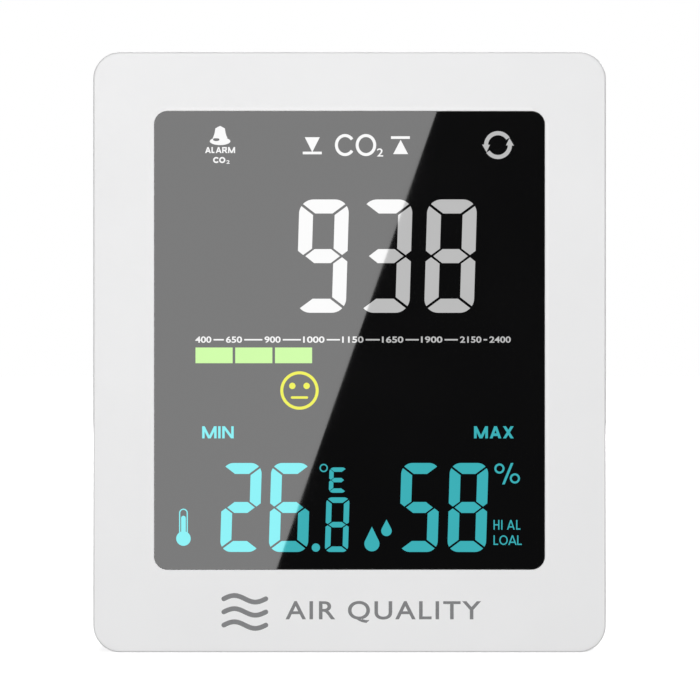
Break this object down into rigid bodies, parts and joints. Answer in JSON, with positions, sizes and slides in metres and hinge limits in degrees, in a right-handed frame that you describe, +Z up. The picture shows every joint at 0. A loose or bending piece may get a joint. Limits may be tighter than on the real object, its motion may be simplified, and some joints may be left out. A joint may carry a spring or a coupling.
{
  "type": "carbon dioxide monitor",
  "caption": "Upright white desktop carbon dioxide monitor with a dark segment display, rear keys, vents and a fold-out leg.",
  "frame": {"origin": "centre of the bounding box's bottom face, where the case stands", "axes": "+Z up the display, -Y out of the display towards the viewer, +X to the viewer's right"},
  "size_m": [0.117, 0.029, 0.137],
  "materials": {
    "white_case": "fine satin moulding",
    "smoked_lens": "clear gloss over a dark display",
    "display_glass": "dark gloss",
    "polariser_film": "satin film",
    "black_foam": "open-cell foam",
    "adhesive_tape": "dull tape",
    "milky_acrylic": "milky, satin",
    "white_reflector": "pearly film",
    "white_plastic": "satin moulding",
    "circuit_board": "solder mask",
    "black_plastic": "satin moulding",
    "chip_epoxy": "moulded epoxy",
    "gold_plate": "gold-plated, satin",
    "white_membrane": "porous membrane",
    "bright_steel": "nickel-plated",
    "amber_film": "polyimide film",
    "silver_pouch": "laminated foil",
    "red_insulation": "wire insulation",
    "black_insulation": "wire insulation",
    "grey_key": "satin moulding",
    "dark_rubber": "matt"
  },
  "bodies": {
    "housing": {"backlight_strip": "white_plastic", "board_screw_1": "bright_steel", "board_screw_2": "bright_steel", "board_screw_3": "bright_steel", "board_screw_4": "bright_steel", "case_screw_1": "bright_steel", "case_screw_2": "bright_steel", "case_screw_3": "bright_steel", "case_screw_4": "bright_steel", "cell_plug": "white_plastic", "cell_tape": "black_foam", "cell_wire_negative": "black_insulation", "cell_wire_positive": "red_insulation", "charging_socket": "bright_steel", "co2_sensor_board": "circuit_board", "co2_sensor_chamber": "gold_plate", "co2_sensor_filter_1": "white_membrane", "co2_sensor_filter_2": "white_membrane", "co2_sensor_header": "black_plastic", "diffuser_sheet": "milky_acrylic", "display_driver_chip": "chip_epoxy", "display_gasket": "black_foam", "display_lens": "smoked_lens", "display_ribbon": "amber_film", "display_tray": "white_plastic", "front_bezel": "white_case", "front_glass": "display_glass", "front_polariser": "polariser_film", "humidity_sensor": "white_membrane", "humidity_sensor_board": "circuit_board", "key_board": "circuit_board", "key_board_screw_1": "bright_steel", "key_board_screw_2": "bright_steel", "key_ribbon": "amber_film", "key_switch_1": "black_plastic", "key_switch_2": "black_plastic", "key_switch_3": "black_plastic", "key_switch_4": "black_plastic", "lens_adhesive": "adhesive_tape", "light_guide": "milky_acrylic", "lithium_cell": "silver_pouch", "main_board": "circuit_board", "main_chip": "chip_epoxy", "rear_cover": "white_case", "rear_glass": "display_glass", "rear_polariser": "polariser_film", "reflector_sheet": "white_reflector", "sound_buzzer": "black_plastic"},
    "stand": {"stand_leg": "white_case", "leg_foot_pad": "dark_rubber"},
    "key_1": {"key_cap_1": "grey_key", "key_plunger_1": "white_plastic"},
    "key_2": {"key_cap_2": "grey_key", "key_plunger_2": "white_plastic"},
    "key_3": {"key_cap_3": "grey_key", "key_plunger_3": "white_plastic"},
    "key_4": {"key_cap_4": "grey_key", "key_plunger_4": "white_plastic"}
  },
  "joints": [
    {"name": "stand_fold", "type": "hinge", "parent": "housing", "child": "stand", "pos_m": [0, 0.0126, 0.076], "axis": [1, 0, 0], "range_deg": [0, 35]},
    {"name": "key_1_press", "type": "slide", "parent": "housing", "child": "key_1", "axis": [0, -1, 0], "range_m": [0, 0.0005], "stiffness_N_per_m": 1500},
    {"name": "key_2_press", "type": "slide", "parent": "housing", "child": "key_2", "axis": [0, -1, 0], "range_m": [0, 0.0005], "stiffness_N_per_m": 1500},
    {"name": "key_3_press", "type": "slide", "parent": "housing", "child": "key_3", "axis": [0, -1, 0], "range_m": [0, 0.0005], "stiffness_N_per_m": 1500},
    {"name": "key_4_press", "type": "slide", "parent": "housing", "child": "key_4", "axis": [0, -1, 0], "range_m": [0, 0.0005], "stiffness_N_per_m": 1500}
  ]
}
